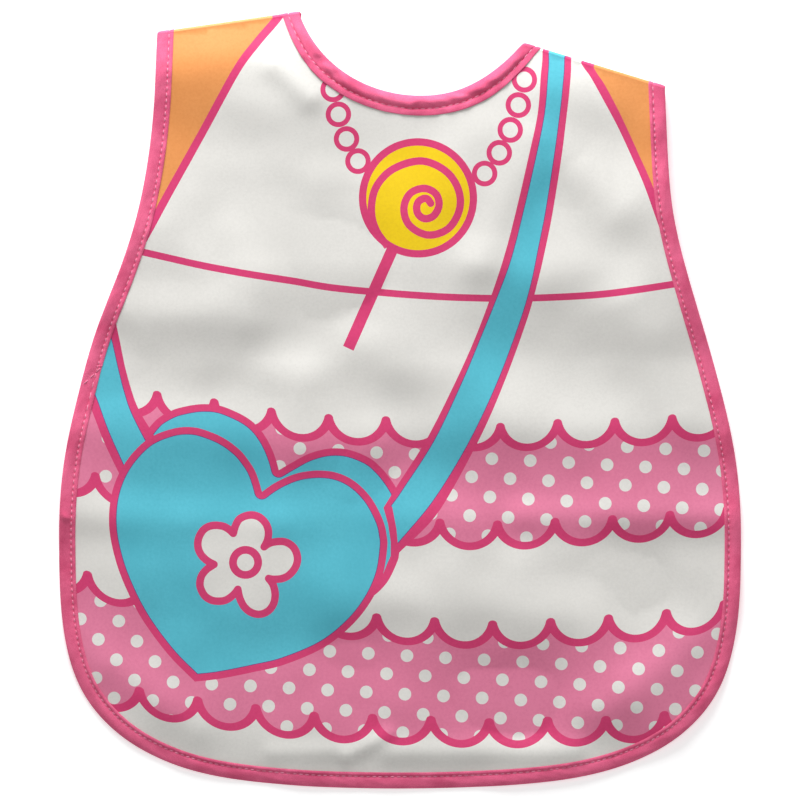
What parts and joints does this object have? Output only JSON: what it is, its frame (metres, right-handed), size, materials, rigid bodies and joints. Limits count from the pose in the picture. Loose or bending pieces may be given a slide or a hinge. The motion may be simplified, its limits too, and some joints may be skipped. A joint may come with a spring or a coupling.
{
  "type": "child's bib apron",
  "caption": "Child's waterproof bib apron with printed front, bound edges and two hook-and-loop neck straps folded behind it.",
  "frame": {"origin": "centre of the bib's outline, on the surface that it lies on", "axes": "+Y up the bib towards the neck, +X towards the wearer's left (the right of the printed front as it is looked at), +Z out of the printed face"},
  "size_m": [0.3324, 0.3813, 0.0062],
  "materials": {
    "printed_fabric": "satin",
    "waterproof_backing": "satin",
    "binding_tape": "matte",
    "sewing_thread": "matte",
    "hook_tape": "matte",
    "loop_tape": "matte"
  },
  "bodies": {
    "front": {"front_face_fabric": "printed_fabric", "front_waterproof_backing": "waterproof_backing", "neck_binding": "binding_tape", "neck_needle_thread": "sewing_thread", "neck_bobbin_thread": "sewing_thread", "left_armhole_binding": "binding_tape", "left_armhole_needle_thread": "sewing_thread", "left_armhole_bobbin_thread": "sewing_thread", "hem_binding": "binding_tape", "hem_needle_thread": "sewing_thread", "hem_bobbin_thread": "sewing_thread", "binding_join_thread": "sewing_thread", "left_shoulder_fold": "printed_fabric", "right_shoulder_fold": "printed_fabric"},
    "left_strap": {"left_strap_face_fabric": "printed_fabric", "left_strap_waterproof_backing": "waterproof_backing", "left_strap_neck_binding": "binding_tape", "left_strap_neck_needle_thread": "sewing_thread", "left_strap_neck_bobbin_thread": "sewing_thread", "left_strap_arm_binding": "binding_tape", "left_strap_arm_needle_thread": "sewing_thread", "left_strap_arm_bobbin_thread": "sewing_thread", "strap_end_fold": "printed_fabric"},
    "strap_end": {"strap_end_face_fabric": "printed_fabric", "strap_end_waterproof_backing": "waterproof_backing", "strap_end_binding": "binding_tape", "strap_end_needle_thread": "sewing_thread", "strap_end_bobbin_thread": "sewing_thread", "hook_tape": "hook_tape", "hook_tape_thread": "sewing_thread"},
    "right_strap": {"right_strap_face_fabric": "printed_fabric", "right_strap_waterproof_backing": "waterproof_backing", "right_strap_binding": "binding_tape", "right_strap_needle_thread": "sewing_thread", "right_strap_bobbin_thread": "sewing_thread", "loop_tape": "loop_tape", "loop_tape_thread": "sewing_thread"}
  },
  "joints": [
    {"name": "left_shoulder_fold_hinge", "type": "hinge", "parent": "front", "child": "left_strap", "pos_m": [-0.08205, 0.1849, 0.0046], "axis": [0.9899, 0.142, 0], "range_deg": [0, 180], "deforming": ["left_shoulder_fold"]},
    {"name": "right_shoulder_fold_hinge", "type": "hinge", "parent": "front", "child": "right_strap", "pos_m": [0.09375, 0.1641, 0.0046], "axis": [0.956, -0.2935, 0], "range_deg": [0, 180], "deforming": ["right_shoulder_fold"]},
    {"name": "strap_end_hinge", "type": "hinge", "parent": "left_strap", "child": "strap_end", "pos_m": [-0.014, 0.10775, 0.00115], "axis": [0, -1, 0], "range_deg": [0, 180], "deforming": ["strap_end_fold"]}
  ]
}
